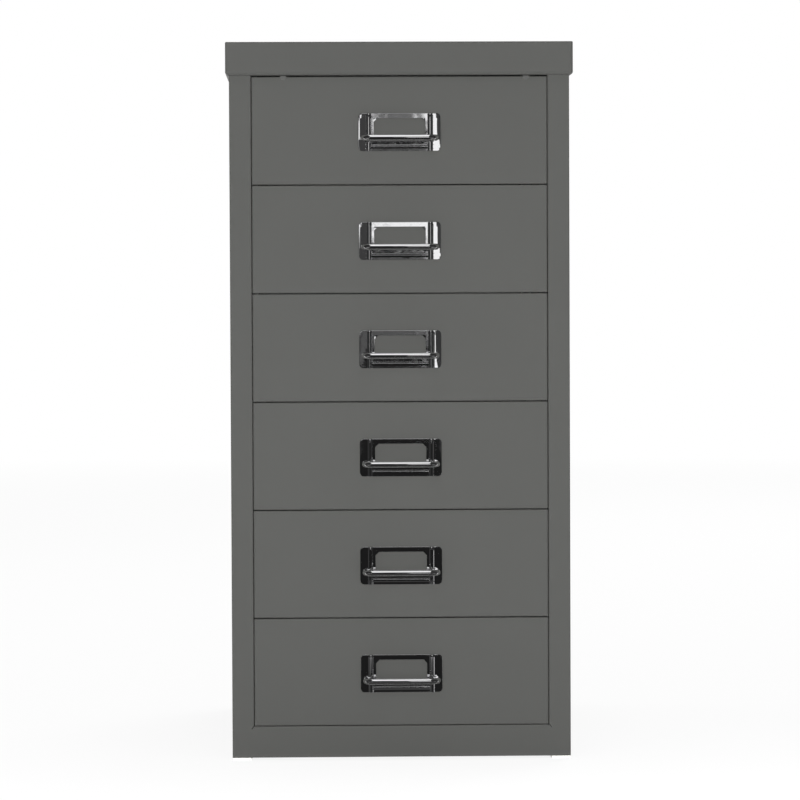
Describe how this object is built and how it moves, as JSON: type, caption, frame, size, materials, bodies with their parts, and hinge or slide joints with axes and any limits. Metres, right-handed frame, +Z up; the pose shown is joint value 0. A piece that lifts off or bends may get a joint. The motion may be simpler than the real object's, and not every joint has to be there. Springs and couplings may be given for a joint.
{
  "type": "drawer cabinet",
  "caption": "Low narrow steel cabinet with a plain cap and flush drawers, each with a chromed label plate and bar pull, for A4 papers.",
  "frame": {"origin": "on the floor, at the middle of the overall width and of the overall depth, pulls included", "axes": "+X to the right seen from the front, +Y from the drawer fronts to the back, +Z up"},
  "size_m": [0.285, 0.402, 0.59],
  "materials": {
    "body_paint": "satin powder coat, dark grey",
    "chrome": "bright chrome plate",
    "runner_zinc": "zinc-plated, dull",
    "spring_steel": "blued spring steel",
    "nylon": "natural nylon",
    "buffer_plastic": "moulded, dark grey"
  },
  "bodies": {
    "cabinet": {"left_side_panel": "body_paint", "right_side_panel": "body_paint", "back_panel": "body_paint", "base_pan": "body_paint", "top_cap": "body_paint", "front_rail": "body_paint", "left_rear_upright": "runner_zinc", "right_rear_upright": "runner_zinc", "left_runners": "runner_zinc", "right_runners": "runner_zinc", "feet": "nylon"},
    "drawer_1": {"drawer_1_front": "body_paint", "drawer_1_tray": "body_paint", "drawer_1_glides": "nylon", "drawer_1_pull_plate": "chrome", "drawer_1_pull_bar": "chrome", "drawer_1_pull_clips": "spring_steel", "drawer_1_top_buffers": "buffer_plastic"},
    "drawer_2": {"drawer_2_front": "body_paint", "drawer_2_tray": "body_paint", "drawer_2_glides": "nylon", "drawer_2_pull_plate": "chrome", "drawer_2_pull_bar": "chrome", "drawer_2_pull_clips": "spring_steel"},
    "drawer_3": {"drawer_3_front": "body_paint", "drawer_3_tray": "body_paint", "drawer_3_glides": "nylon", "drawer_3_pull_plate": "chrome", "drawer_3_pull_bar": "chrome", "drawer_3_pull_clips": "spring_steel"},
    "drawer_4": {"drawer_4_front": "body_paint", "drawer_4_tray": "body_paint", "drawer_4_glides": "nylon", "drawer_4_pull_plate": "chrome", "drawer_4_pull_bar": "chrome", "drawer_4_pull_clips": "spring_steel"},
    "drawer_5": {"drawer_5_front": "body_paint", "drawer_5_tray": "body_paint", "drawer_5_glides": "nylon", "drawer_5_pull_plate": "chrome", "drawer_5_pull_bar": "chrome", "drawer_5_pull_clips": "spring_steel"},
    "drawer_6": {"drawer_6_front": "body_paint", "drawer_6_tray": "body_paint", "drawer_6_glides": "nylon", "drawer_6_pull_plate": "chrome", "drawer_6_pull_bar": "chrome", "drawer_6_pull_clips": "spring_steel"}
  },
  "joints": [
    {"name": "drawer_1_slide", "type": "slide", "parent": "cabinet", "child": "drawer_1", "axis": [0, -1, 0], "range_m": [0, 0.28]},
    {"name": "drawer_2_slide", "type": "slide", "parent": "cabinet", "child": "drawer_2", "axis": [0, -1, 0], "range_m": [0, 0.28]},
    {"name": "drawer_3_slide", "type": "slide", "parent": "cabinet", "child": "drawer_3", "axis": [0, -1, 0], "range_m": [0, 0.28]},
    {"name": "drawer_4_slide", "type": "slide", "parent": "cabinet", "child": "drawer_4", "axis": [0, -1, 0], "range_m": [0, 0.28]},
    {"name": "drawer_5_slide", "type": "slide", "parent": "cabinet", "child": "drawer_5", "axis": [0, -1, 0], "range_m": [0, 0.28]},
    {"name": "drawer_6_slide", "type": "slide", "parent": "cabinet", "child": "drawer_6", "axis": [0, -1, 0], "range_m": [0, 0.28]}
  ]
}
